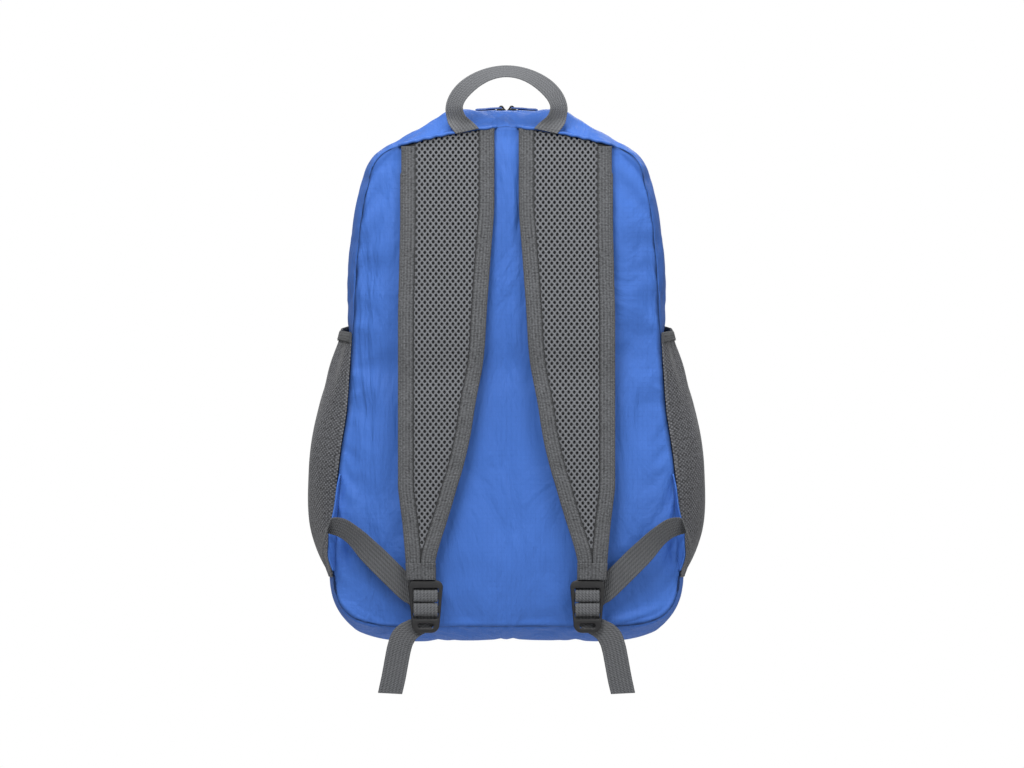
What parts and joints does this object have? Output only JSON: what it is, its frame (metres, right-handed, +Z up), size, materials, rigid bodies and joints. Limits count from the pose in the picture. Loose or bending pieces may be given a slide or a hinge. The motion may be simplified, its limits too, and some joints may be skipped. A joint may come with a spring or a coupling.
{
  "type": "packable backpack",
  "caption": "Light hollow daypack with spacer mesh shoulder straps, ladder-lock buckles, mesh side pockets, a zipped top and a webbing grab handle.",
  "frame": {"origin": "top of the clear space under the crown of the grab handle, where a peg or hook bears, in the plane of the back seam", "axes": "+Z up, +X across the bag to the right as seen from the harness side, +Y from the harness side to the outer side"},
  "size_m": [0.331, 0.1834, 0.5193],
  "materials": {
    "shell_cloth": "thin blue ripstop nylon with a soft sheen",
    "zip_tape": "blue woven zip tape",
    "zip_coil": "black nylon coil",
    "slider": "black painted slider and pull",
    "pocket_knit": "fine charcoal knit mesh",
    "elastic_binding": "grey elastic binding",
    "spacer_mesh": "grey three-layer spacer mesh with open cells",
    "binding_tape": "grey woven binding tape",
    "buckle": "black moulded acetal",
    "webbing": "grey ribbed webbing, 20 mm wide"
  },
  "bodies": {
    "bag": {"back_panel": "shell_cloth", "front_panel": "shell_cloth", "gusset": "shell_cloth", "zip_tape": "zip_tape", "left_zip_coil": "zip_coil", "right_zip_coil": "zip_coil", "left_slider": "slider", "right_slider": "slider", "left_pocket": "pocket_knit", "right_pocket": "pocket_knit", "left_pocket_binding": "elastic_binding", "right_pocket_binding": "elastic_binding", "left_strap": "spacer_mesh", "right_strap": "spacer_mesh", "left_strap_outer_tape": "binding_tape", "left_strap_inner_tape": "binding_tape", "right_strap_outer_tape": "binding_tape", "right_strap_inner_tape": "binding_tape", "left_buckle": "buckle", "right_buckle": "buckle", "left_buckle_loop": "webbing", "right_buckle_loop": "webbing", "left_webbing": "webbing", "right_webbing": "webbing", "left_wing": "shell_cloth", "right_wing": "shell_cloth", "grab_handle": "webbing"},
    "left_pull": {"left_pull": "slider"},
    "right_pull": {"right_pull": "slider"}
  },
  "joints": [
    {"name": "left_pull_flip", "type": "hinge", "parent": "bag", "child": "left_pull", "pos_m": [-0.0044, 0.04793, -0.02585], "axis": [0, 0.9179, -0.3968], "range_deg": [0, 98]},
    {"name": "right_pull_flip", "type": "hinge", "parent": "bag", "child": "right_pull", "pos_m": [0.0044, 0.04793, -0.02585], "axis": [0, -0.9179, 0.3968], "range_deg": [0, 98]}
  ]
}
